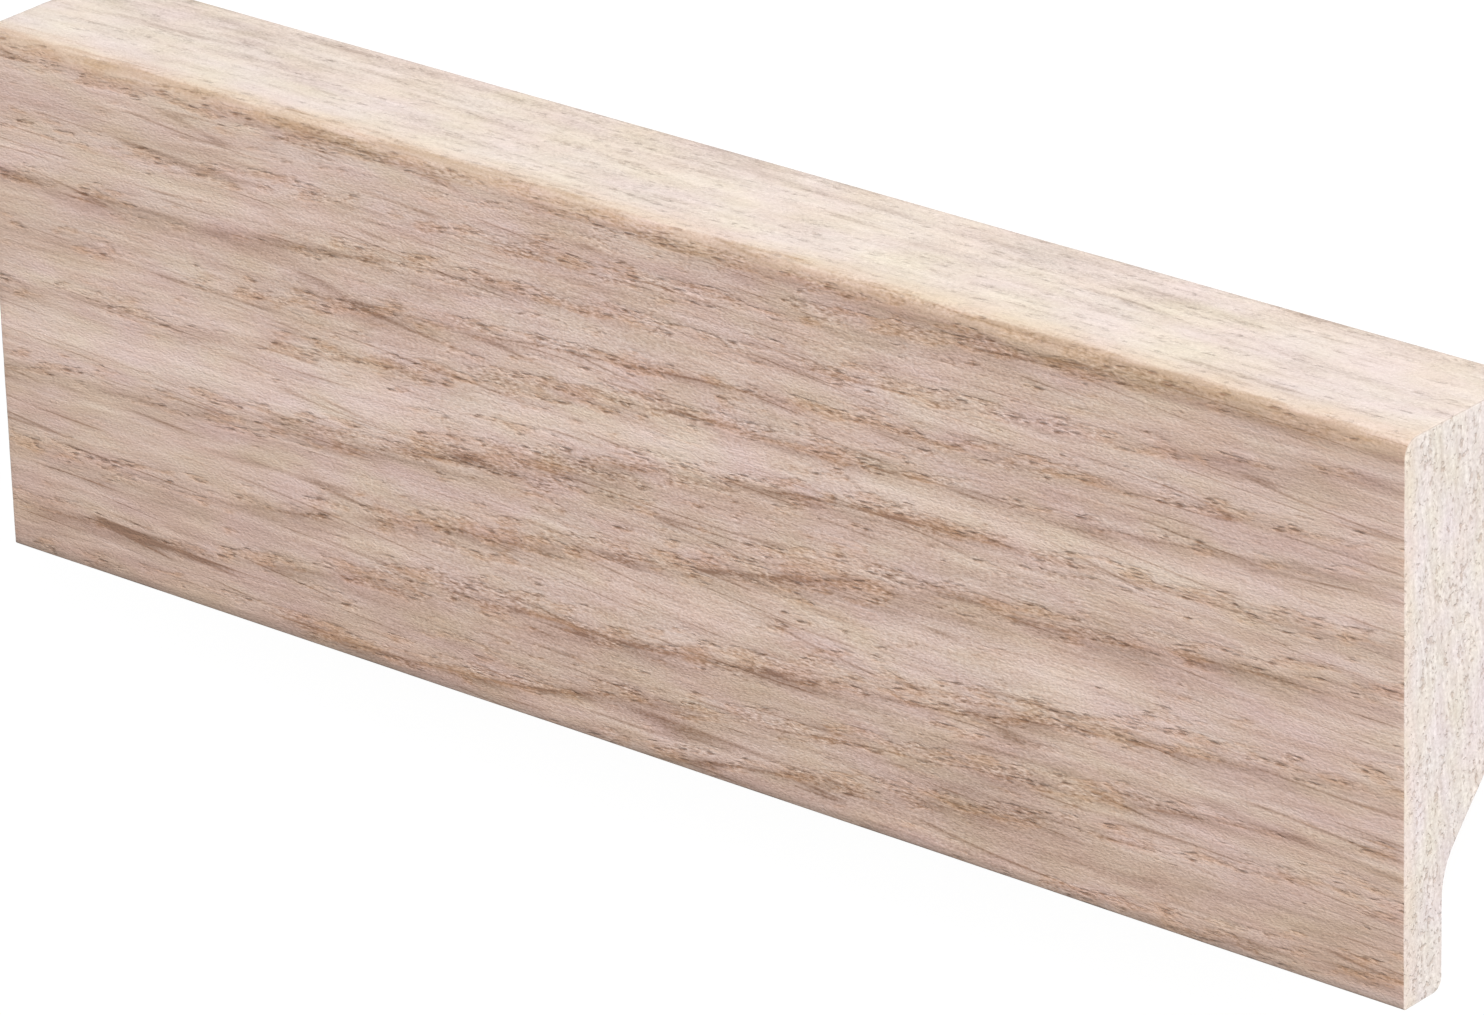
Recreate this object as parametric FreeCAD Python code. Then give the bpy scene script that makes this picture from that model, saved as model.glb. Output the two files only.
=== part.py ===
import FreeCAD, Part
import math
import os

# Skirting board length: one piece of solid oak, planed to a section and sawn square at both ends.
# It lies on its back, the way a loose piece of board comes to rest, with its show face up.
# X runs along the board, Y up the board's height as fixed to a wall, Z from the wall side to the
# show face. The origin is under the middle of the board, on the plane of its back face.
# All lengths are millimetres.

# The board as sold and sawn
board_length = 187.0
board_height = 60.0
board_thickness = 20.0

# The relief cut out of the back above the floor: it leaves a thin lip at the show face, and
# a slant that runs out on the back face
lip_thickness = 6.3
relief_height = 28.0
relief_slant_deg = 42.0
cove_radius = 8.0

# How the long edges are worked
top_front_round = 2.0
lip_back_round = 1.5
arris_easing = 0.4

floor_y = -board_height / 2
top_y = board_height / 2
back_z = 0.0
show_z = board_thickness
lip_back_z = show_z - lip_thickness
relief_top_y = floor_y + relief_height

# The slant, carried on down, meets the plane of the lip's back at the middle of the cove
slant_rise = (lip_back_z - back_z) / math.tan(math.radians(relief_slant_deg))
cove_y = relief_top_y - slant_rise


def section_point(y, z):
    """A point of the board's section, in the plane of the sawn end at -X."""
    return FreeCAD.Vector(-board_length / 2, y, z)


def worked_corner(before, corner, after, radius):
    """The tangent arc of this radius that works the corner between its two neighbours."""
    to_before = (before - corner).normalize()
    to_after = (after - corner).normalize()
    half_angle = to_before.getAngle(to_after) / 2
    to_middle = (to_before + to_after).normalize()
    tangent_length = radius / math.tan(half_angle)
    nearest = radius / math.sin(half_angle) - radius
    return Part.Arc(
        corner + to_before * tangent_length,
        corner + to_middle * nearest,
        corner + to_after * tangent_length,
    )


def board_section():
    """The closed section: corners in order round the board, each with the radius it is worked to."""
    corners = [
        (section_point(floor_y, show_z), arris_easing),
        (section_point(floor_y, lip_back_z), lip_back_round),
        (section_point(cove_y, lip_back_z), cove_radius),
        (section_point(relief_top_y, back_z), arris_easing),
        (section_point(top_y, back_z), arris_easing),
        (section_point(top_y, show_z), top_front_round),
    ]
    points = [point for point, radius in corners]
    arcs = []
    for index, (point, radius) in enumerate(corners):
        following = points[(index + 1) % len(points)]
        arcs.append(worked_corner(points[index - 1], point, following, radius))
    edges = []
    for arc, following in zip(arcs, arcs[1:] + arcs[:1]):
        edges.append(arc.toShape())
        edges.append(Part.LineSegment(arc.EndPoint, following.StartPoint).toShape())
    return Part.Face(Part.Wire(edges))


def skirting_board():
    """The section carried along the whole length, square to both ends."""
    return board_section().extrude(FreeCAD.Vector(board_length, 0, 0))


os.makedirs("parts", exist_ok=True)
board = skirting_board()
board.exportStep("parts/skirting_board.step")
print("board volume", round(board.Volume / 1000, 2), "cm3, valid", board.isValid())
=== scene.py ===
import math
import types

import bmesh
import bpy
import numpy as np
from mathutils import Matrix, Vector
from mathutils.geometry import delaunay_2d_cdt


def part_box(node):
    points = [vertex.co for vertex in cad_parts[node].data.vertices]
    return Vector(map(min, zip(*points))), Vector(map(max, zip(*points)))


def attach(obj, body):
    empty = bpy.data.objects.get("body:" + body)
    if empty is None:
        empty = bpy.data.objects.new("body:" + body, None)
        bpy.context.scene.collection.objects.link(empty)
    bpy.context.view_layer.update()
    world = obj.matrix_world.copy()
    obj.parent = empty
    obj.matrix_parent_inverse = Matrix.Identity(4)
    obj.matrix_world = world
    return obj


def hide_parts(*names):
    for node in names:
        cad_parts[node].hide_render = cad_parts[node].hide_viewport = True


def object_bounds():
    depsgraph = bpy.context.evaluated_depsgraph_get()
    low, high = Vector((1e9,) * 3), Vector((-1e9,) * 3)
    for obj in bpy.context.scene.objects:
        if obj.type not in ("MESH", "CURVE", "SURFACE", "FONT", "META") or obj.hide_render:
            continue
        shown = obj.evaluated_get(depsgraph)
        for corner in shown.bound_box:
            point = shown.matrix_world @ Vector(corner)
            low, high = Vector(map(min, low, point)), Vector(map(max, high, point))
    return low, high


# The looks of a short length of solid oak skirting board that lies on its back, show face up.
# X runs along the board, Y up its height towards the rounded top edge, Z out of the wall side.
# Lengths are metres, and millimetres where a name ends in mm or MM.

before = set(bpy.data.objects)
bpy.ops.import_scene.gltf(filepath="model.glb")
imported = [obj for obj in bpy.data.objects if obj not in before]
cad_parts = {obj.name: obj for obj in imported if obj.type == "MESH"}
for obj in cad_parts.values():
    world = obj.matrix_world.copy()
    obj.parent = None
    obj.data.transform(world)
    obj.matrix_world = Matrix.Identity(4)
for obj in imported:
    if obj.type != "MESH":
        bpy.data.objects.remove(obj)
cad_low, cad_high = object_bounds()

NODE = "skirting_board"
MM = 0.001
board_low, board_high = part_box(NODE)
length_mm, height_mm, thickness_mm = (board_high - board_low) / MM
half_length_mm = length_mm / 2
half_height_mm = height_mm / 2

# Growth rings. Each row is the height at which one ring's dark early wood shows on the show face,
# at seven places evenly spaced from the board's left end to its right end. The rings follow each
# other down the face, the youngest at the top.
RING_HEIGHTS_MM = [
    (35.5, 37.0, 37.5, 38.6, 41.0, 42.0, 44.0),
    (28.8, 28.8, 28.7, 28.8, 28.6, 29.2, 30.5),
    (19.4, 20.5, 22.0, 22.8, 26.3, 28.1, 28.5),
    (13.9, 14.5, 17.7, 18.5, 19.5, 21.4, 25.6),
    (8.0, 8.2, 11.3, 13.7, 15.1, 16.3, 17.5),
    (1.3, 2.6, 6.2, 9.9, 10.8, 11.9, 15.3),
    (-7.7, -6.2, -3.1, 2.4, 6.0, 6.9, 8.6),
    (-18.0, -16.3, -11.4, -6.9, -1.7, 0.5, 3.8),
    (-25.0, -23.0, -18.5, -16.8, -13.7, -10.2, -6.7),
    (-29.5, -27.9, -27.8, -23.4, -20.1, -17.3, -13.8),
    (-37.0, -36.0, -33.0, -29.0, -24.6, -20.6, -18.1),
    (-45.0, -42.5, -40.0, -36.5, -32.8, -29.1, -27.2),
    (-52.0, -50.0, -47.0, -44.0, -40.5, -37.0, -34.5),
]
# How dark a ring's line is, and the stretches where it is darker or paler than elsewhere: the
# ring's row above, where the stretch begins and ends along the board, and how dark it is there
LINE_DARKNESS = 0.5
LINE_STRETCHES = [
    (1, -94, 94, 0.32),
    (2, -94, -42, 0.13),
    (2, -42, 12, 0.27),
    (3, -94, -66, 0.87),
    (3, -64, -47, 0.58),
    (3, 72, 94, 0.71),
    (4, -40, -4, 0.43),
    (4, 2, 24, 0.7),
    (4, 72, 94, 0.4),
    (5, 24, 42, 0.42),
    (5, 50, 94, 0.62),
    (6, -42, -20, 0.64),
    (6, -20, 45, 0.74),
    (7, -94, -66, 0.38),
    (7, -50, 94, 0.69),
    (7, 2, 22, 0.53),
    (7, 50, 66, 0.62),
    (8, -85, -48, 0.86),
    (8, -38, -2, 0.52),
    (8, 4, 50, 0.89),
    (8, 54, 94, 0.58),
    (9, -45, 0, 0.87),
    (9, 24, 42, 0.3),
    (9, 50, 94, 0.81),
    (10, 5, 46, 0.85),
    (10, 56, 94, 0.22),
    (11, 70, 94, 0.84),
]
# The same for the late wood, half a ring below the line
LATE_DARKNESS = 0.3
LATE_STRETCHES = [
    (1, 20, 94, 0.42),
    (2, -94, -20, 0.2),
    (5, -94, 94, 0.1),
    (7, -94, -50, 0.44),
    (7, -4, 94, 0.17),
    (8, -94, 10, 0.42),
    (8, 10, 94, 0.38),
    (9, -94, 50, 0.46),
    (10, -94, 94, 0.5),
]
# How far outside its ends a stretch begins to show, and how far inside them it shows in full
STRETCH_OUTSIDE_MM = 12
STRETCH_INSIDE_MM = 6
# The pitch of the rings above the first row and below the last
RING_PITCH_MM = 7.8
# Pores darken a ring above its line, so the line itself is set this share of a ring lower
RING_SHIFT = 0.1
# The rings stand nearly parallel to the show face and lean a little, deeper towards the top edge
RING_LEAN_DEG = 16.0
# Below the show face they also wander, by up to this much, in full at this depth
RING_WAVE_MM = 1.6
RING_WAVE_DEPTH_MM = 4

# How far apart the mesh's points are: on the show face, on the top and bottom edges, on the wall
# side with its relief, along the board, and on the sawn ends
SHOW_PITCH_MM = 0.24
EDGE_PITCH_MM = 0.36
BACK_PITCH_MM = 1.0
ALONG_PITCH_MM = 0.95
CAP_PITCH_MM = 0.9
# The show face's close rows go on this far behind it, and an edge's rows this far round its corners
SHOW_DEPTH_MM = 2.5
EDGE_MARGIN_MM = 0.5
# A chord of the section longer than this is a flat side, and a shorter one is a part of an arc
LONGEST_ARC_CHORD_MM = 3
# Points nearer than these are one: corners of the CAD mesh, points of a sawn end, and the rims of
# the board's parts, this last in metres
SAME_PLACE_MM = 1e-3
CAP_TOLERANCE_MM = 1e-6
WELD_DISTANCE = 1e-7
# The triangulation's number for keeping only the triangles inside the outline
INSIDE_ONLY = 1

# Relief, inwards from the exact form
PLANED_DEPTH_MM = 0.09
EARLY_WOOD_DEPTH_MM = 0.025
FIBRE_DEPTH_MM = 0.022
TOOL_WAVE_DEPTH_MM = 0.04
SAWN_DEPTH_MM = 0.03
SAW_MARK_DEPTH_MM = 0.03
END_WEAR_MM = 0.15
END_WEAR_STEPS = 3
END_CHIP_SHARE = 0.3

# The lattice noise's hash: what a cell's place, the mixed bits and the seed are multiplied by, what
# is added to the seed, and how far the mixed bits are folded over
HASH_PRIMES = (73856093, 19349663, 83492791)
HASH_FACTOR = 2654435761
SEED_FACTOR = 7919
SEED_START = 17
HASH_FOLD = 15
LOW_32_BITS = 0xFFFFFFFF
LOW_16_BITS = 0xFFFF

# Colours, from 0 to 255 in sRGB. The show face and the back:
FACE_PALE = (231, 209, 197)
FACE_MEAN = (205, 178, 163)
FACE_DARK = (146, 114, 95)
FACE_CROWDED = (200, 158, 126)
FACE_PORE = (132, 92, 68)
# The top and bottom edges, warmer beside the top's round, with painted shade along their arris at the
# wall side:
EDGE_PALE = (223, 210, 200)
EDGE_MEAN = (211, 197, 186)
EDGE_DARK = (178, 162, 150)
EDGE_WARM = (212, 187, 163)
EDGE_BACK_ARRIS_SHADE = (170, 158, 148)
EDGE_PORE = (160, 132, 110)
# The sawn ends, warmer beside the show face:
END_PALE = (231, 222, 216)
END_MEAN = (211, 201, 195)
END_DARK = (186, 172, 163)
END_WARM = (220, 200, 183)
END_PORE = (172, 142, 120)
# Corners: the top's round, its tan the cut fibres' own colour darkened further as painted shade; the dark
# line at its foot;
# painted shade along the floor's arris; and painted shade on the ends' upper arrises
ROUND_TAN = (163, 139, 107)
ROUND_FOOT = (148, 110, 80)
FLOOR_ARRIS_SHADE = (136, 119, 108)
END_ARRIS_SHADE = (176, 160, 148)

# Pores show in full near this place along the board, and less and less between these distances
# from it
PORES_MIDDLE_MM = 10.0
PORES_NEAR_MM = 20.0
PORES_FAR_MM = 90.0
# How far the columns of dots on the sawn ends lean away from the board's height
END_DOTS_TURN_DEG = -8.0
BUMP_DEPTH_MM = 0.12

# The studio
WHITE = (1.0, 1.0, 1.0, 1.0)
FLOOR_COLOUR = (0.9, 0.9, 0.9, 1.0)
FLOOR_HALF_SIZE = 6.0
FLOOR_GLOW = 1.115
FLOOR_GLOW_SHARE = 0.8
WORLD_LIGHT = 0.45
WORLD_SEEN = 1.0
CAMERA_SENSOR_MM = 36.0
CAMERA_LENS_MM = 221.1
CAMERA_PLACE_MM = (559.2, 369.7, 655.1)
CAMERA_FORWARD = (-0.5983, -0.4017, -0.6933)
CAMERA_UP = (-0.2393, 0.9153, -0.3239)


def lattice_noise(points, seed):
    """Smooth noise from 0 to 1 at many points, on a unit lattice of hashed values."""
    cell = np.floor(points).astype(np.int64)
    part = points - cell
    part = part * part * (3 - 2 * part)
    total = np.zeros(len(points))
    for corner in np.ndindex(2, 2, 2):
        mixed = np.uint64(seed * SEED_FACTOR + SEED_START)
        for axis, prime in enumerate(HASH_PRIMES):
            step = (cell[:, axis] + corner[axis]).astype(np.uint64) * np.uint64(prime)
            mixed = (mixed ^ step) * np.uint64(HASH_FACTOR) & np.uint64(LOW_32_BITS)
        mixed ^= mixed >> np.uint64(HASH_FOLD)
        value = (mixed & np.uint64(LOW_16_BITS)).astype(float) / LOW_16_BITS
        share = np.ones(len(points))
        for axis in range(3):
            share *= part[:, axis] if corner[axis] else 1 - part[:, axis]
        total += value * share
    return total


def layered_noise(points_mm, size_mm, seed, layers=3):
    """Noise about 0, from -1 to 1, whose largest features have this size along X, Y and Z."""
    total = np.zeros(len(points_mm))
    weight = 0.0
    for layer in range(layers):
        total += lattice_noise(points_mm * 2.0 ** layer / np.array(size_mm), seed + layer) / 2 ** layer
        weight += 1 / 2 ** layer
    return 2 * total / weight - 1


def growth_field(points_mm):
    """The number of rings grown at each point, counted down the show face, with its fraction."""
    x, y, z = points_mm.T
    depth = thickness_mm - z
    stations = np.linspace(-half_length_mm, half_length_mm, len(RING_HEIGHTS_MM[0]))
    lean = 1 / math.tan(math.radians(RING_LEAN_DEG))
    wave = RING_WAVE_MM * layered_noise(points_mm, (45, 16, 9), seed=3, layers=2)
    wave *= np.minimum(depth / RING_WAVE_DEPTH_MM, 1)
    seen = y - depth * lean + wave
    heights = [smooth_between(x, stations, row) for row in RING_HEIGHTS_MM]
    first, last = heights[0], heights[-1]
    rings = np.where(
        seen > first,
        (first - seen) / RING_PITCH_MM,
        len(heights) - 1 + (last - seen) / RING_PITCH_MM,
    )
    for number, (upper, lower) in enumerate(zip(heights, heights[1:])):
        inside = (seen <= upper) & (seen > lower)
        rings = np.where(inside, number + (upper - seen) / (upper - lower), rings)
    return rings


def curve_weights(t):
    """A smooth curve's shares at t of its start, leaving tangent, end and arriving tangent."""
    return (
        2 * t ** 3 - 3 * t ** 2 + 1,
        t ** 3 - 2 * t ** 2 + t,
        3 * t ** 2 - 2 * t ** 3,
        t ** 3 - t ** 2,
    )


def direction_weights(t):
    """The same shares for the curve's direction at t."""
    return (
        6 * t ** 2 - 6 * t,
        3 * t ** 2 - 4 * t + 1,
        6 * t - 6 * t ** 2,
        3 * t ** 2 - 2 * t,
    )


def on_curve(weights, start, leave, end, arrive):
    """The curve's point or direction for these weights."""
    return start * weights[0] + leave * weights[1] + end * weights[2] + arrive * weights[3]


def smooth_between(x, stations, values):
    """Values at x on a smooth curve through the stations, with tangents from their neighbours."""
    values = np.array(values)
    slopes = np.gradient(values, stations)
    before = np.clip(np.searchsorted(stations, x) - 1, 0, len(stations) - 2)
    after = before + 1
    width = stations[after] - stations[before]
    weights = curve_weights((x - stations[before]) / width)
    leave = slopes[before] * width
    arrive = slopes[after] * width
    return on_curve(weights, values[before], leave, values[after], arrive)


def section_corners():
    """The CAD solid's section as a ring of (y, z) points in mm, anticlockwise with Z up."""
    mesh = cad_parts[NODE].data
    left = board_low.x / MM
    places = [tuple(round(value / MM, 4) for value in vertex.co) for vertex in mesh.vertices]
    neighbours = {}
    for face in mesh.polygons:
        corners = [places[index] for index in face.vertices]
        if all(abs(corner[0] - left) < SAME_PLACE_MM for corner in corners):
            continue
        for one, other in zip(corners, corners[1:] + corners[:1]):
            on_end = max(abs(one[0] - left), abs(other[0] - left)) < SAME_PLACE_MM
            if on_end and one != other:
                neighbours.setdefault(one[1:], set()).add(other[1:])
                neighbours.setdefault(other[1:], set()).add(one[1:])
    start = min(neighbours)
    ring = [start]
    following = min(neighbours[start])
    while following != start:
        ring.append(following)
        following = next(place for place in neighbours[following] if place != ring[-2])
    points = np.array(ring)
    turned = np.roll(points, -1, axis=0)
    area = np.sum(points[:, 0] * turned[:, 1] - turned[:, 0] * points[:, 1]) / 2
    return points if area > 0 else points[::-1]


def pitch_at(y, z):
    """How far apart the mesh's rows are at this place of the section."""
    if z > thickness_mm - SHOW_DEPTH_MM and y > -half_height_mm + EDGE_MARGIN_MM:
        return SHOW_PITCH_MM
    if y > half_height_mm - EDGE_MARGIN_MM or y < -half_height_mm + EDGE_MARGIN_MM:
        return EDGE_PITCH_MM
    return BACK_PITCH_MM


def section_rows(corners):
    """The section as closely spaced points with their outward normals, smooth round its arcs."""
    chords = np.roll(corners, -1, axis=0) - corners
    lengths = np.linalg.norm(chords, axis=1)
    summed = chords + np.roll(chords, 1, axis=0)
    tangents = summed / np.linalg.norm(summed, axis=1)[:, None]
    points, normals = [], []
    for index, (start, chord, size) in enumerate(zip(corners, chords, lengths)):
        count = max(1, math.ceil(size / pitch_at(*(start + chord / 2))))
        leave = tangents[index] * size
        arrive = tangents[(index + 1) % len(corners)] * size
        for step in range(count):
            t = step / count
            if size > LONGEST_ARC_CHORD_MM:
                place = start + chord * t
                tangent = chord
            else:
                ends = (start, leave, start + chord, arrive)
                place = on_curve(curve_weights(t), *ends)
                tangent = on_curve(direction_weights(t), *ends)
            tangent = tangent / np.linalg.norm(tangent)
            points.append(place)
            normals.append((tangent[1], -tangent[0]))
    return np.array(points), np.array(normals)


def early_wood(rings):
    """How much of the dark open early wood there is, from 0 to 1, by the place within a ring."""
    part = rings - np.floor(rings)
    return np.interp(part, (0.0, 0.1, 0.6, 0.85, 1.0), (1.0, 0.2, 0.0, 0.7, 1.0))


def ring_darkness(usual, stretches, x, rings, offset):
    """How dark a ring's line is at each point, or its late wood with an offset of half a ring."""
    count = len(RING_HEIGHTS_MM)
    amounts = np.full((count, len(x)), usual)
    for ring, start, end, amount in stretches:
        places = (
            start - STRETCH_OUTSIDE_MM,
            start + STRETCH_INSIDE_MM,
            end - STRETCH_INSIDE_MM,
            end + STRETCH_OUTSIDE_MM,
        )
        share = np.interp(x, places, (0.0, 1.0, 1.0, 0.0))
        amounts[ring] += (amount - amounts[ring]) * share
    place = np.clip(rings - offset, 0, count - 1.001)
    number = place.astype(int)
    part = place - number
    every = np.arange(len(x))
    return amounts[number, every] * (1 - part) + amounts[number + 1, every] * part


def wear_depth(points_mm, rings):
    """How far the planed surface lies inside the exact form: early wood, fibres and tool waves."""
    fibres = layered_noise(points_mm, (16, 0.9, 0.9), seed=11, layers=2)
    waves = layered_noise(points_mm, (70, 14, 14), seed=21, layers=2)
    return (
        PLANED_DEPTH_MM
        + EARLY_WOOD_DEPTH_MM * early_wood(rings)
        + FIBRE_DEPTH_MM * fibres
        + TOOL_WAVE_DEPTH_MM * waves
    )


def board_skin():
    """The parts of the board's skin: rows round the section along its length, and two sawn ends."""
    section, normals = section_rows(section_corners())
    count = len(section)
    middle = np.arange(-half_length_mm + END_WEAR_MM, half_length_mm - END_WEAR_MM, ALONG_PITCH_MM)
    middle = np.linspace(middle[0], -middle[0], len(middle))
    turns = np.linspace(0, math.pi / 2, END_WEAR_STEPS + 1)[1:]
    out = END_WEAR_MM * np.sin(turns)
    inward = END_WEAR_MM * (1 - np.cos(turns))
    stations = np.concatenate([middle[0] - out[::-1], middle, middle[-1] + out])
    insets = np.concatenate([inward[::-1], np.zeros(len(middle)), inward])
    x = np.repeat(stations, count)
    flat = np.column_stack([x, np.tile(section, (len(stations), 1))])
    outward = np.column_stack([np.zeros(len(flat)), np.tile(normals, (len(stations), 1))])
    chips = 1 + END_CHIP_SHARE * layered_noise(flat, (6, 3, 3), seed=31)
    depth = wear_depth(flat, growth_field(flat)) + np.repeat(insets, count) * chips
    places = flat - outward * depth[:, None]

    faces = []
    for station in range(len(stations) - 1):
        base = station * count
        for row in range(count):
            after = (row + 1) % count
            faces.append((base + row, base + after, base + count + after, base + count + row))
    left_rim, right_rim = places[:count], places[-count:]
    return [(places, faces), sawn_end(left_rim, -1), sawn_end(right_rim, 1)]


def sawn_end(rim, x_side):
    """A sawn end that faces this side along X: its points, the rim's first, and its triangles."""
    low, high = rim[:, 1:].min(axis=0), rim[:, 1:].max(axis=0)
    grid = [
        (y, z)
        for y in np.arange(low[0] + CAP_PITCH_MM, high[0] - CAP_PITCH_MM / 2, CAP_PITCH_MM)
        for z in np.arange(low[1] + CAP_PITCH_MM, high[1] - CAP_PITCH_MM / 2, CAP_PITCH_MM)
        if inside_section(y, z, rim[:, 1:], CAP_PITCH_MM / 2)
    ]
    outline = [Vector(point) for point in rim[:, 1:]]
    edges = [(index, (index + 1) % len(rim)) for index in range(len(rim))]
    points = outline + [Vector(point) for point in grid]
    filled = delaunay_2d_cdt(points, edges, [], INSIDE_ONLY, CAP_TOLERANCE_MM)
    flat, _, triangles, origins, _, _ = filled
    places = np.array([(rim[0, 0], point.x, point.y) for point in flat])
    inner = np.array([all(index >= len(rim) for index in origin) for origin in origins])
    saw = layered_noise(places, (5, 5, 1.3), seed=41, layers=2)
    places[:, 0] -= x_side * np.where(inner, SAWN_DEPTH_MM + SAW_MARK_DEPTH_MM * saw, 0.0)
    facing = [tuple(face) for face in triangles]
    one = places[facing[0][1]] - places[facing[0][0]]
    other = places[facing[0][2]] - places[facing[0][0]]
    if np.cross(one, other)[0] * x_side < 0:
        facing = [tuple(reversed(face)) for face in facing]
    return places, facing


def inside_section(y, z, outline, margin):
    """Whether a point lies inside the closed outline and at least a margin from it."""
    turned = np.roll(outline, -1, axis=0)
    crosses = (outline[:, 1] > z) != (turned[:, 1] > z)
    rise = np.where(crosses, turned[:, 1] - outline[:, 1], 1.0)
    at = outline[:, 0] + (z - outline[:, 1]) / rise * (turned[:, 0] - outline[:, 0])
    within = np.count_nonzero(crosses & (y < at)) % 2 == 1
    return within and np.hypot(outline[:, 0] - y, outline[:, 1] - z).min() > margin


def welded(parts):
    """One mesh in metres from parts in mm, welded where their rims meet."""
    vertices, faces = [], []
    for places, part_faces in parts:
        base = len(vertices)
        vertices.extend(places.tolist())
        faces.extend(tuple(base + index for index in face) for face in part_faces)
    mesh = bpy.data.meshes.new("oak_board")
    mesh.from_pydata([[value * MM for value in vertex] for vertex in vertices], [], faces)
    work = bmesh.new()
    work.from_mesh(mesh)
    bmesh.ops.remove_doubles(work, verts=work.verts, dist=WELD_DISTANCE)
    work.to_mesh(mesh)
    work.free()
    return mesh


def store_rings(mesh):
    """Keep each vertex's ring number, and how dark line and late wood are there, for the material."""
    places = np.empty(len(mesh.vertices) * 3)
    mesh.vertices.foreach_get("co", places)
    places = places.reshape(-1, 3) / MM
    rings = growth_field(places)
    fields = {
        "growth": rings,
        "line": ring_darkness(LINE_DARKNESS, LINE_STRETCHES, places[:, 0], rings, 0.0),
        "late": ring_darkness(LATE_DARKNESS, LATE_STRETCHES, places[:, 0], rings, 0.5),
    }
    for name, values in fields.items():
        mesh.attributes.new(name, "FLOAT", "POINT").data.foreach_set("value", values)


def make_board():
    """The dressed board as one object."""
    mesh = welded(board_skin())
    store_rings(mesh)
    mesh.polygons.foreach_set("use_smooth", [True] * len(mesh.polygons))
    mesh.materials.append(oak_material())
    board = bpy.data.objects.new("oak_board", mesh)
    bpy.context.scene.collection.objects.link(board)
    return board


def srgb(colour):
    """A colour written as 0 to 255 in sRGB, as the linear colour that a shader takes."""
    linear = []
    for value in colour:
        value /= 255
        linear.append(value / 12.92 if value <= 0.04045 else ((value + 0.055) / 1.055) ** 2.4)
    return (*linear, 1.0)


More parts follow.
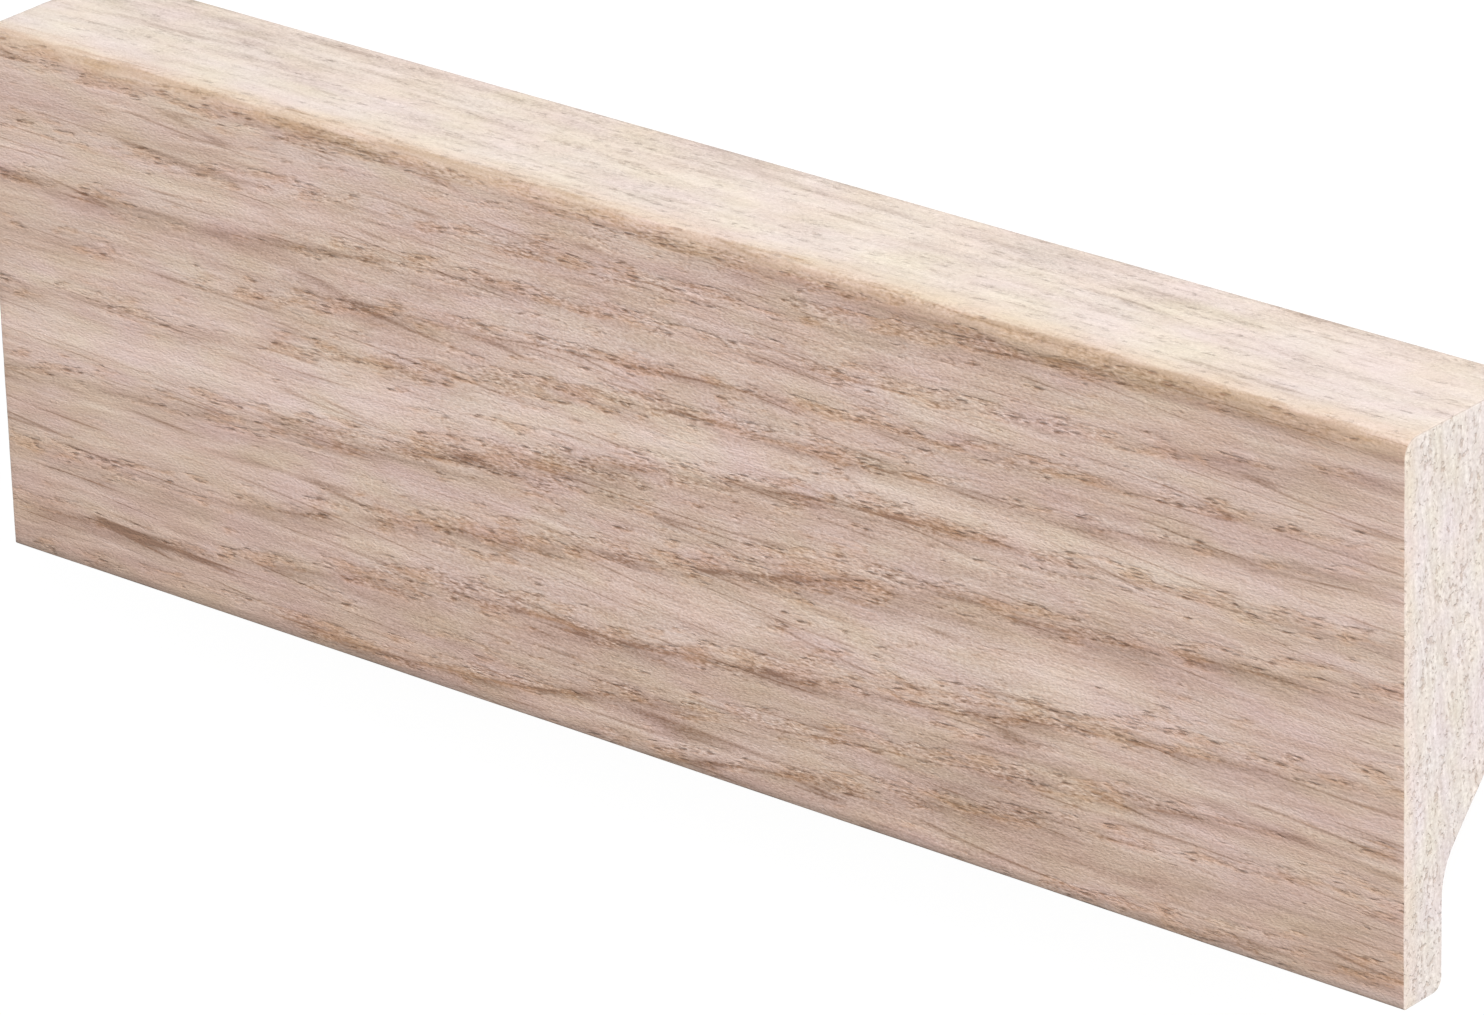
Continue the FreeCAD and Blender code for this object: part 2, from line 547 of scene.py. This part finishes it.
class Shader:
    """The node tree of a material or a world, with short calls that add a node."""

    def __init__(self, owner):
        owner.use_nodes = True
        self.tree = owner.node_tree
        self.tree.nodes.clear()

    def add(self, kind, inputs, **settings):
        """A new node, each input linked to an output or set to a value."""
        node = self.tree.nodes.new(kind)
        for name, value in settings.items():
            setattr(node, name, value)
        for key, value in inputs.items():
            self.feed(node.inputs[key], value)
        return node

    def feed(self, socket, value):
        """Link an output to the input, or set a value on it."""
        if isinstance(value, bpy.types.NodeSocket):
            self.tree.links.new(value, socket)
        else:
            socket.default_value = value

    def math(self, operation, one, other=0.0, third=0.0):
        inputs = {0: one, 1: other, 2: third}
        return self.add("ShaderNodeMath", inputs, operation=operation).outputs[0]

    def product(self, first, *others):
        """The values multiplied."""
        for value in others:
            first = self.math("MULTIPLY", first, value)
        return first

    def away(self, value, middle):
        """How far the value is from a middle, to either side."""
        return self.math("ABSOLUTE", self.math("SUBTRACT", value, middle))

    def sway(self, value, noise, amount):
        """The value moved up and down by a noise around its middle."""
        return self.math("MULTIPLY_ADD", self.math("SUBTRACT", noise, 0.5), amount, value)

    def rise(self, value, low, high, low_to=0.0, high_to=1.0):
        """A smooth rise from one number to another while the value passes from low to high."""
        inputs = {"Value": value, "From Min": low, "From Max": high, "To Min": low_to, "To Max": high_to}
        return self.add("ShaderNodeMapRange", inputs, interpolation_type="SMOOTHSTEP").outputs[0]

    def field(self, name):
        """A value stored on the mesh."""
        return self.add("ShaderNodeAttribute", {}, attribute_name=name).outputs["Fac"]

    def vector_math(self, operation, one, other, third=(0.0, 0.0, 0.0)):
        inputs = {0: one, 1: other, 2: third}
        return self.add("ShaderNodeVectorMath", inputs, operation=operation).outputs[0]

    def turned(self, vector, degrees):
        """The vector turned so that what runs along X rises by this much towards the right."""
        turn = (0.0, 0.0, math.radians(-degrees))
        return self.add("ShaderNodeMapping", {"Vector": vector, "Rotation": turn}).outputs[0]

    def scaled(self, vector, size_mm, away=(0.0, 0.0, 0.0)):
        """The vector measured in units of this size, from a place away from its origin."""
        scale = tuple(1 / size for size in size_mm)
        inputs = {"Vector": vector, "Location": away, "Scale": scale}
        return self.add("ShaderNodeMapping", inputs).outputs[0]

    def bent(self, vector, size_mm, amount_mm):
        """The vector pushed about in the section by a noise with features of this size."""
        placed = self.scaled(vector, size_mm)
        noise = self.add("ShaderNodeTexNoise", {"Vector": placed, "Scale": 1.0, "Detail": 1.0})
        push = self.vector_math("MULTIPLY", noise.outputs["Color"], (0.0, amount_mm, amount_mm))
        return self.vector_math("ADD", vector, push)

    def noise(self, vector, size_mm, seed, detail=1.0, roughness=0.5):
        """Noise from 0 to 1 with features of this size along X, Y and Z."""
        placed = self.scaled(vector, size_mm, (3.1 * seed, 1.7 * seed, 2.3 * seed))
        inputs = {"Vector": placed, "Scale": 1.0, "Detail": detail, "Roughness": roughness}
        return self.add("ShaderNodeTexNoise", inputs).outputs["Fac"]

    def dashes(self, vector, size_mm, share):
        """Separate uneven spots, at most one to a cell of this size, in this share of the cells.

        Gives how much of a place is a spot, and the wider, softer hollow round each of them.
        """
        placed = self.scaled(vector, size_mm)
        uneven = self.add("ShaderNodeTexNoise", {"Vector": placed, "Scale": 2.3, "Detail": 1.0})
        placed = self.vector_math("MULTIPLY_ADD", uneven.outputs["Color"], (0.5, 0.5, 0.5), placed)
        cells = self.add("ShaderNodeTexVoronoi", {"Vector": placed, "Scale": 1.0, "Randomness": 1.0})
        pick = self.add("ShaderNodeSeparateColor", {0: cells.outputs["Color"]})
        chosen = self.rise(self.math("SUBTRACT", share, pick.outputs[0]), 0.0, 0.3)
        spot = self.rise(cells.outputs["Distance"], 0.12, 0.4, 1.0, 0.0)
        hollow = self.rise(cells.outputs["Distance"], 0.1, 0.65, 1.0, 0.0)
        return self.product(spot, chosen), self.product(hollow, chosen)

    def hairlines(self, vector, size_mm, seed, width, share):
        """Fine lines where a noise passes its middle, where the share isn't nothing."""
        ridge = self.noise(vector, size_mm, seed, detail=0.0)
        return self.product(self.rise(self.away(ridge, 0.5), 0.0, width, 1.0, 0.0), share)

    def ramp(self, factor, stops):
        """A value or colour by the factor: stops are (place, value or colour)."""
        node = self.add("ShaderNodeValToRGB", {"Fac": factor})
        ramp = node.color_ramp
        while len(ramp.elements) < len(stops):
            ramp.elements.new(0.5)
        for element, (place, value) in zip(ramp.elements, stops):
            element.position = place
            element.color = value if isinstance(value, tuple) else (value, value, value, 1.0)
        return node.outputs["Color"]

    def mix(self, factor, one, other, blend="MIX"):
        """One colour or value, and by the factor the other in its place."""
        node = self.add("ShaderNodeMix", {"Factor": factor}, data_type="RGBA", blend_type=blend)
        sockets = [socket for socket in node.inputs if socket.type == "RGBA"]
        for socket, value in zip(sockets, (one, other)):
            self.feed(socket, value)
        return next(socket for socket in node.outputs if socket.type == "RGBA")

    def tinted(self, colour, vector, size_mm, green, blue, seed):
        """The colour with patches a little pinker, greener, yellower or bluer, red kept."""
        patches = self.noise(vector, size_mm, seed)
        green = self.rise(patches, 0.2, 0.8, 1.0 - green, 1.0 + green)
        patches = self.noise(vector, size_mm, seed + 1)
        blue = self.rise(patches, 0.2, 0.8, 1.0 - blue, 1.0 + blue)
        tint = self.add("ShaderNodeCombineColor", {0: 1.0, 1: green, 2: blue}).outputs[0]
        return self.mix(1.0, colour, tint, "MULTIPLY")


def places_on_board(s):
    """Where a shaded point lies on the board and which way it faces, in mm and as values."""
    coordinates = s.add("ShaderNodeTexCoord", {})
    scale = {0: coordinates.outputs["Object"], "Scale": 1 / MM}
    at = types.SimpleNamespace()
    at.mm = s.add("ShaderNodeVectorMath", scale, operation="SCALE").outputs[0]
    split = s.add("ShaderNodeSeparateXYZ", {0: at.mm})
    at.along = split.outputs["X"]
    at.behind = s.math("SUBTRACT", thickness_mm, split.outputs["Z"])

    # How far it is down the face from the middle of the top's round, or back from it if less than
    # nothing, and the same up the face from the floor's arris
    at.down = s.math("SUBTRACT", s.math("SUBTRACT", half_height_mm, split.outputs["Y"]), at.behind)
    at.up = s.math("SUBTRACT", s.math("ADD", half_height_mm, split.outputs["Y"]), at.behind)

    # The round's tan and painted shade, the line at its foot and the painted shade along the floor's
    # arris belong to the show face's edges alone, and fade out this far behind it
    at.shown = s.rise(at.behind, 3.0, 6.0, 1.0, 0.0)

    facing = s.add("ShaderNodeSeparateXYZ", {0: coordinates.outputs["Normal"]})
    at.upward = facing.outputs["Y"]
    at.sideways = s.math("ABSOLUTE", facing.outputs["X"])
    at.on_edge = s.rise(s.math("ABSOLUTE", at.upward), 0.6, 0.95)
    at.on_end = s.rise(at.sideways, 0.15, 0.5)
    return at


def grown_wood(s, at):
    """What runs through the whole board: rings, fibres and the crowding of pores, as values."""
    wood = types.SimpleNamespace()
    wavy = s.bent(at.mm, (70, 18, 18), 3.0)
    wood.fibre = s.turned(wavy, 0.5)
    wood.slanted = s.turned(wavy, 5.0)
    falling = s.turned(wavy, -3.0)
    outward = s.rise(s.away(at.along, PORES_MIDDLE_MM), PORES_NEAR_MM, PORES_FAR_MM)

    # The place within a ring, its edges drawn out along the fibres
    smooth = s.noise(wood.fibre, (24, 3, 3), seed=2, detail=2.0)
    smooth = s.math("SUBTRACT", s.sway(s.field("growth"), smooth, 0.3), RING_SHIFT)
    ring = s.noise(wood.fibre, (13, 0.8, 0.8), seed=1, detail=3.0, roughness=0.6)
    part = s.math("FRACT", s.sway(smooth, ring, 0.26))
    dark = s.ramp(part, [
        (0.0, 1.0), (0.08, 0.76), (0.17, 0.42), (0.32, 0.08), (0.46, 0.0),
        (0.79, 0.04), (0.89, 0.28), (0.95, 0.7), (1.0, 1.0),
    ])
    broken = s.rise(s.noise(wood.fibre, (22, 2.2, 2.2), seed=3, detail=2.0), 0.36, 0.6, 0.48, 1.2)
    wood.dark = s.product(dark, broken)

    # A thin clear line on some stretches of a ring's own line, none of them near the board's ends
    crisp = s.away(s.math("FRACT", s.math("ADD", smooth, 0.5)), 0.5)
    crisp = s.rise(crisp, 0.0, 0.045, 1.0, 0.0)
    crisp_share = s.rise(s.noise(wood.fibre, (28, 5, 5), seed=29, detail=1.0), 0.47, 0.6)
    wood.crisp = s.product(crisp, crisp_share, s.math("SUBTRACT", 1.0, outward))

    # Fibres, from broad soft strands to fine ones, and two sets of hairlines that cross them
    wood.broad = s.noise(wood.fibre, (55, 8, 8), seed=4)
    wood.strand = s.noise(wood.fibre, (13, 1.3, 1.3), seed=5, detail=2.0, roughness=0.6)
    wood.thread = s.noise(wood.fibre, (5, 0.42, 0.42), seed=6, detail=1.0)
    wood.fine = s.noise(wood.slanted, (0.42, 0.2, 0.2), seed=7)
    broad_share = s.rise(s.noise(falling, (18, 4, 4), seed=9), 0.46, 0.6)
    broad_set = s.hairlines(falling, (80, 3.5, 3.5), seed=8, width=0.02, share=broad_share)
    close_share = s.rise(s.noise(falling, (15, 2.5, 2.5), seed=28), 0.5, 0.62)
    close_set = s.hairlines(falling, (90, 2.2, 2.2), seed=27, width=0.025, share=close_share)
    wood.hair = s.math("MAXIMUM", close_set, broad_set)

    # Open pores crowd in the early wood, above a ring's line, and near the top's round
    wood.early = s.ramp(part, [
        (0.0, 1.0), (0.1, 0.5), (0.2, 0.05), (0.6, 0.0), (0.75, 0.7), (0.85, 1.0), (1.0, 1.0),
    ])
    near_round = s.rise(at.down, -3.0, -1.0)
    near_round = s.product(near_round, s.rise(at.down, 2.0, 5.0, 1.0, 0.0), at.shown)
    cluster = s.noise(wood.slanted, (4, 1.1, 1.1), seed=10, detail=2.0)
    cluster = s.sway(cluster, s.noise(wood.fibre, (26, 7, 7), seed=21), 0.3)
    cluster = s.math("MULTIPLY_ADD", near_round, 0.09, cluster)
    cluster = s.math("MULTIPLY_ADD", outward, -0.08, s.math("ADD", cluster, 0.03))
    wood.crowd = s.rise(s.sway(cluster, wood.early, 0.2), 0.48, 0.68)
    wood.grain = s.noise(wood.slanted, (0.75, 0.24, 0.24), seed=11)
    wood.open = s.math("MULTIPLY_ADD", outward, -0.57, 1.13)
    share = s.math("MULTIPLY_ADD", wood.crowd, 0.5, 0.09)
    wood.pore, wood.pit = s.dashes(wood.slanted, (2.0, 0.42, 0.42), share)
    return wood


def long_face_colour(s, wood):
    """The show face and the back: brown rings, pores as short dashes in loose clusters."""
    late = s.field("late")
    tone = s.math("MULTIPLY_ADD", wood.dark, s.math("SUBTRACT", s.field("line"), late), late)
    tone = s.sway(tone, wood.broad, 0.42)
    tone = s.sway(tone, wood.strand, 0.55)
    tone = s.sway(tone, wood.thread, 0.35)
    rough = s.sway(0.0, wood.fine, 0.62)
    # In the pore clusters the grain's noise gives light and dark flecks: partly the wood's own mottle,
    # partly painted highlights standing in for lit pore walls
    rough = s.sway(rough, wood.grain, s.math("MULTIPLY_ADD", wood.crowd, 1.55, 0.15))
    tone = s.math("MULTIPLY_ADD", rough, wood.open, tone)
    tone = s.math("MULTIPLY_ADD", wood.hair, 0.42, tone)
    tone = s.math("MULTIPLY_ADD", wood.crisp, 0.36, tone)
    colour = s.ramp(tone, [(0.0, srgb(FACE_PALE)), (0.4, srgb(FACE_MEAN)), (1.0, srgb(FACE_DARK))])
    warm = s.rise(s.noise(wood.fibre, (9, 1.8, 1.8), seed=20), 0.35, 0.65, 0.3, 1.0)
    warm = s.product(warm, s.math("MULTIPLY_ADD", wood.crowd, 0.42, 0.03))
    colour = s.mix(warm, colour, srgb(FACE_CROWDED))
    return s.tinted(colour, wood.fibre, (9, 3, 3), 0.028, 0.045, seed=14)


def edge_colour(s, wood, at):
    """The top and bottom edges: paler, with faint short strands, a painted light gradient from a
    highlight beside the round to darker towards the wall side, and painted shade along the wall side's
    arris.
    """
    # Painted light: paler beside the top's round as a highlight, darker towards the wall side
    tone = s.math("MULTIPLY_ADD", wood.dark, 0.1, s.rise(at.behind, 2.0, 9.0, 0.24, 0.34))
    tone = s.math("ADD", tone, s.rise(at.behind, 9.0, 20.0, 0.0, 0.16))
    tone = s.sway(tone, s.noise(wood.fibre, (24, 6, 6), seed=26), 0.5)
    tone = s.sway(tone, s.noise(wood.fibre, (14, 2.2, 1.7), seed=18), 0.9)
    tone = s.sway(tone, s.noise(wood.slanted, (3, 0.8, 0.7), seed=24, detail=2.0, roughness=0.6), 0.76)
    tone = s.sway(tone, wood.thread, 0.2)
    tone = s.sway(tone, wood.fine, 0.78)
    strand = s.noise(wood.fibre, (17, 1.6, 1.2), seed=25, detail=2.0)
    tone = s.math("ADD", tone, s.rise(strand, 0.6, 0.74, 0.0, 0.4))
    tone = s.sway(tone, wood.grain, s.product(wood.crowd, 0.9))
    colour = s.ramp(tone, [(0.0, srgb(EDGE_PALE)), (0.45, srgb(EDGE_MEAN)), (1.0, srgb(EDGE_DARK))])
    colour = s.mix(s.rise(at.behind, 1.0, 4.8, 0.5, 0.0), colour, srgb(EDGE_WARM))
    # Painted shade along the arris at the wall side, stronger on some strands
    back_arris_shade = s.rise(at.behind, thickness_mm - 0.8, thickness_mm - 0.1)
    back_arris_shade = s.product(back_arris_shade, s.rise(wood.strand, 0.4, 0.65, 0.1, 0.7))
    colour = s.mix(back_arris_shade, colour, srgb(EDGE_BACK_ARRIS_SHADE))
    return s.tinted(colour, wood.fibre, (9, 4, 4), 0.02, 0.045, seed=23)


def end_looks(s, wood, at):
    """The sawn ends' colour and relief: pores cut across, as dots in upright columns."""
    turn = (math.radians(END_DOTS_TURN_DEG), 0.0, 0.0)
    upright = s.add("ShaderNodeMapping", {"Vector": at.mm, "Rotation": turn}).outputs[0]
    wavy = s.bent(upright, (6.25, 6.25, 6.25), 1.2)
    dots = s.noise(wavy, (4, 0.56, 0.38), seed=12)
    rows = s.noise(wavy, (4, 7, 1.2), seed=19, detail=2.0)
    crowd = s.rise(s.sway(rows, wood.early, 0.2), 0.38, 0.64)
    limit = s.math("MULTIPLY_ADD", crowd, -0.12, 0.7)
    dot = s.rise(s.math("SUBTRACT", dots, limit), -0.06, 0.08)
    speck = s.noise(wavy, (4, 0.46, 0.32), seed=13)
    columns = s.noise(wavy, (4, 5, 0.45), seed=22)
    tone = s.sway(s.math("MULTIPLY_ADD", wood.early, 0.05, 0.42), speck, 0.75)
    tone = s.sway(tone, dots, crowd)
    tone = s.sway(tone, columns, 0.75)
    colour = s.ramp(tone, [(0.0, srgb(END_PALE)), (0.45, srgb(END_MEAN)), (1.0, srgb(END_DARK))])
    colour = s.mix(s.product(dot, 0.22), colour, srgb(END_PORE))
    colour = s.mix(s.rise(at.behind, 0.2, 2.6, 0.4, 0.0), colour, srgb(END_WARM))
    colour = s.tinted(colour, wavy, (9, 6, 3.5), 0.02, 0.05, seed=16)
    return colour, s.math("MULTIPLY_ADD", dot, -0.8, speck)


def with_round_tan_and_shade(s, wood, at, face, colour):
    """The colour, with the tan strip along the top's round, the cut fibres' own tan darkened further as
    painted shade, and the dark line at its foot.
    """
    fray = s.sway(0.0, wood.strand, 4.0)
    fray = s.sway(fray, wood.thread, 2.5)
    fray = s.sway(fray, wood.fine, 1.0)
    down = s.math("MULTIPLY_ADD", at.along, -0.005, at.down)
    foot = s.product(s.rise(down, 1.1, 1.7), s.rise(down, 1.85, 2.7, 1.0, 0.0))
    foot = s.product(foot, s.rise(wood.strand, 0.35, 0.6, 0.0, 0.22), at.shown)
    down = s.math("ADD", down, fray)
    tan = s.product(s.rise(down, -2.1, -0.2), s.rise(down, 0.6, 3.2, 0.85, 0.0), at.shown)
    # The round's tan: partly the cut fibres' own colour, partly painted shade
    round_tan_shade = s.mix(s.rise(wood.strand, 0.3, 0.7, 0.35, 0.55), face, srgb(ROUND_TAN))
    colour = s.mix(tan, colour, round_tan_shade)
    return s.mix(foot, colour, srgb(ROUND_FOOT))


def with_painted_arris_shade(s, wood, at, colour):
    """The colour, with painted shade along the floor's arris: a soft band that fades over 1.5 mm and,
    here and there along the strands, a darker line right at the arris.
    """
    distance = s.math("ABSOLUTE", at.up)
    arris_shade_band = s.rise(distance, 0.1, 1.5, 0.6, 0.0)
    arris_shade_line = s.rise(distance, 0.15, 0.5, 1.0, 0.0)
    arris_shade_line = s.product(arris_shade_line, s.rise(wood.strand, 0.35, 0.6, 0.1, 0.85))
    arris_shade_band = s.product(s.math("MAXIMUM", arris_shade_band, arris_shade_line), at.shown)
    return s.mix(arris_shade_band, colour, srgb(FLOOR_ARRIS_SHADE))


def oak_material():
    """Bare planed oak, each side of it coloured by the way that the wood is cut there."""
    material = bpy.data.materials.new("planed_oak")
    s = Shader(material)
    at = places_on_board(s)
    wood = grown_wood(s, at)
    face = long_face_colour(s, wood)
    colour = s.mix(at.on_edge, face, edge_colour(s, wood, at))
    # The tan strip on the top's round, partly painted shade, and the dark line at its foot
    colour = with_round_tan_and_shade(s, wood, at, face, colour)
    pore_colour = s.mix(at.on_edge, srgb(FACE_PORE), srgb(EDGE_PORE))
    pore = s.product(wood.pore, s.rise(at.on_edge, 0.0, 1.0, 0.6, 0.25))
    colour = s.mix(pore, colour, pore_colour)
    # Painted shade along the floor's arris
    colour = with_painted_arris_shade(s, wood, at, colour)

    end_colour, end_relief = end_looks(s, wood, at)
    colour = s.mix(at.on_end, colour, end_colour)
    # Painted shade on the bevel where the top meets each sawn end, dulling the bright line that the key
    # lamp puts there
    arris = s.product(s.rise(at.sideways, 0.2, 0.4), s.rise(at.sideways, 0.8, 0.97, 1.0, 0.0))
    arris = s.product(arris, s.rise(at.upward, 0.1, 0.4, 0.0, 0.6))
    colour = s.mix(arris, colour, srgb(END_ARRIS_SHADE))

    relief = s.math("ADD", wood.fine, s.product(wood.thread, 0.7))
    relief = s.math("MULTIPLY_ADD", wood.pit, -1.6, relief)
    relief = s.math("MULTIPLY_ADD", wood.grain, s.product(wood.crowd, -1.2), relief)
    relief = s.mix(at.on_end, relief, end_relief)
    bump = s.add("ShaderNodeBump", {
        "Height": relief, "Strength": 0.8, "Distance": BUMP_DEPTH_MM * MM,
    }).outputs[0]
    surface = s.add("ShaderNodeBsdfPrincipled", {
        "Base Color": colour, "Roughness": 0.7, "Specular IOR Level": 0.3, "Normal": bump,
    })
    s.add("ShaderNodeOutputMaterial", {"Surface": surface.outputs[0]})
    return material


def floor_material():
    """A white floor that shows as white to the camera and keeps a light shadow of the board."""
    material = bpy.data.materials.new("white_floor")
    s = Shader(material)
    path = s.add("ShaderNodeLightPath", {})
    plain = s.add("ShaderNodeBsdfDiffuse", {"Color": FLOOR_COLOUR})
    white = s.add("ShaderNodeEmission", {"Color": WHITE, "Strength": FLOOR_GLOW})
    share = s.product(path.outputs["Is Camera Ray"], FLOOR_GLOW_SHARE)
    seen = s.add("ShaderNodeMixShader", {"Fac": share, 1: plain.outputs[0], 2: white.outputs[0]})
    s.add("ShaderNodeOutputMaterial", {"Surface": seen.outputs[0]})
    return material


def make_floor():
    """A wide plain floor under the board."""
    far = FLOOR_HALF_SIZE
    mesh = bpy.data.meshes.new("floor")
    mesh.from_pydata([(-far, -far, 0), (far, -far, 0), (far, far, 0), (-far, far, 0)], [], [(0, 1, 2, 3)])
    mesh.materials.append(floor_material())
    floor = bpy.data.objects.new("floor", mesh)
    floor.location.z = cad_low.z
    bpy.context.scene.collection.objects.link(floor)


def make_world():
    """Even white light from all round, white to the camera."""
    world = bpy.data.worlds.new("studio")
    bpy.context.scene.world = world
    s = Shader(world)
    path = s.add("ShaderNodeLightPath", {})
    strength = s.add("ShaderNodeMapRange", {
        "Value": path.outputs["Is Camera Ray"], "To Min": WORLD_LIGHT, "To Max": WORLD_SEEN,
    }).outputs[0]
    background = s.add("ShaderNodeBackground", {"Color": WHITE, "Strength": strength})
    s.add("ShaderNodeOutputWorld", {"Surface": background.outputs[0]})


def make_lamp(name, direction, distance, size, power):
    """A square soft light that shines on the board from this direction."""
    light = bpy.data.lights.new(name, "AREA")
    light.size = size
    light.energy = power
    lamp = bpy.data.objects.new(name, light)
    towards = Vector(direction).normalized()
    lamp.location = towards * distance
    lamp.rotation_mode = "QUATERNION"
    lamp.rotation_quaternion = towards.to_track_quat("Z", "Y")
    bpy.context.scene.collection.objects.link(lamp)


def make_camera():
    """The photo's view: from beyond the right end, above the top edge, down on the show face."""
    camera_data = bpy.data.cameras.new("camera")
    camera_data.sensor_width = CAMERA_SENSOR_MM
    camera_data.lens = CAMERA_LENS_MM
    camera = bpy.data.objects.new("camera", camera_data)
    forward = Vector(CAMERA_FORWARD).normalized()
    right = forward.cross(Vector(CAMERA_UP)).normalized()
    up = right.cross(forward)
    turn = Matrix((right, up, -forward)).transposed()
    camera.matrix_world = Matrix.Translation(Vector(CAMERA_PLACE_MM) * MM) @ turn.to_4x4()
    bpy.context.scene.collection.objects.link(camera)
    bpy.context.scene.camera = camera


board = make_board()
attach(board, "root")
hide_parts(NODE)

make_floor()
make_world()
make_lamp("key", direction=(0.66, 0.66, 0.36), distance=5.0, size=2.8, power=254.0)
make_lamp("over", direction=(-0.1, 0.2, 1.0), distance=3.2, size=2.4, power=18.0)
make_camera()

bpy.context.scene.view_settings.view_transform = "Standard"
